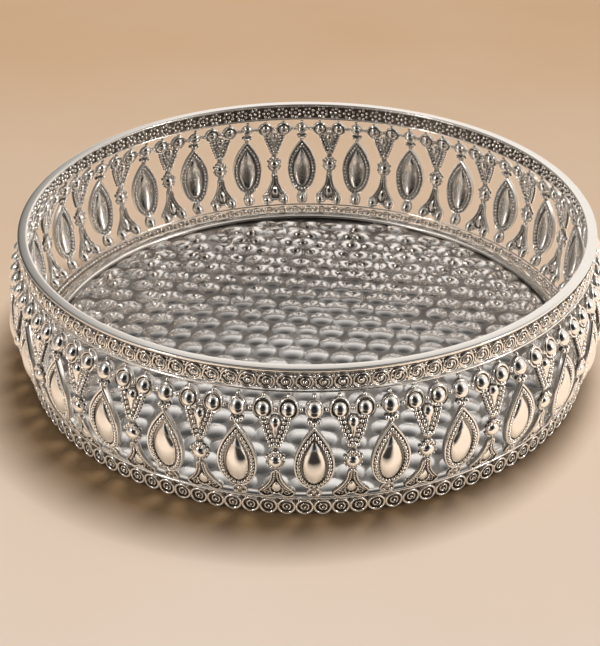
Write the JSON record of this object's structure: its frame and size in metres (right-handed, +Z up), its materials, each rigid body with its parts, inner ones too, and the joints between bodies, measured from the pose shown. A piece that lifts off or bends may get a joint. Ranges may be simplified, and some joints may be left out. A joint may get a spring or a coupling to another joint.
{
  "type": "decorative tray",
  "caption": "Round silver tray with a hammered plate inside a belly-shaped openwork wall of cast drops and Y motifs, under a curl band and a flat rim, on a row of open rings.",
  "frame": {"origin": "on the table, under the middle of the tray", "axes": "+Z up along the tray's axis of symmetry, -Y towards the picture's camera, +X to its right"},
  "size_m": [0.308, 0.308, 0.0773],
  "materials": {
    "polished_silver": "polished silver plate with fine wear",
    "band_silver": "antiqued silver plate, dark in the recesses",
    "cast_silver": "bright cast silver plate, dark in the recesses",
    "hammered_silver": "hammered silver plate in rows of oval bumps"
  },
  "bodies": {
    "root": {"rim": "polished_silver", "upper_band_strip_01": "band_silver", "upper_band_strip_02": "band_silver", "upper_band_strip_03": "band_silver", "upper_band_strip_04": "band_silver", "upper_band_strip_05": "band_silver", "upper_band_strip_06": "band_silver", "upper_band_strip_07": "band_silver", "upper_band_strip_08": "band_silver", "upper_wire": "polished_silver", "wall_unit_01": "cast_silver", "wall_unit_02": "cast_silver", "wall_unit_03": "cast_silver", "wall_unit_04": "cast_silver", "wall_unit_05": "cast_silver", "wall_unit_06": "cast_silver", "wall_unit_07": "cast_silver", "wall_unit_08": "cast_silver", "wall_unit_09": "cast_silver", "wall_unit_10": "cast_silver", "wall_unit_11": "cast_silver", "wall_unit_12": "cast_silver", "wall_unit_13": "cast_silver", "wall_unit_14": "cast_silver", "wall_unit_15": "cast_silver", "wall_unit_16": "cast_silver", "wall_unit_17": "cast_silver", "wall_unit_18": "cast_silver", "wall_unit_19": "cast_silver", "wall_unit_20": "cast_silver", "wall_unit_21": "cast_silver", "wall_unit_22": "cast_silver", "wall_unit_23": "cast_silver", "wall_unit_24": "cast_silver", "wall_unit_25": "cast_silver", "wall_unit_26": "cast_silver", "wall_unit_27": "cast_silver", "wall_unit_28": "cast_silver", "lower_wire": "polished_silver", "plate_collar": "polished_silver", "hammered_plate": "hammered_silver", "lower_band_strip_01": "band_silver", "lower_band_strip_02": "band_silver", "lower_band_strip_03": "band_silver", "lower_band_strip_04": "band_silver", "lower_band_strip_05": "band_silver", "lower_band_strip_06": "band_silver", "lower_band_strip_07": "band_silver", "lower_band_strip_08": "band_silver", "lower_band_strip_09": "band_silver", "lower_band_strip_10": "band_silver", "lower_band_strip_11": "band_silver", "lower_band_strip_12": "band_silver", "lower_band_strip_13": "band_silver", "lower_band_strip_14": "band_silver"}
  },
  "joints": []
}
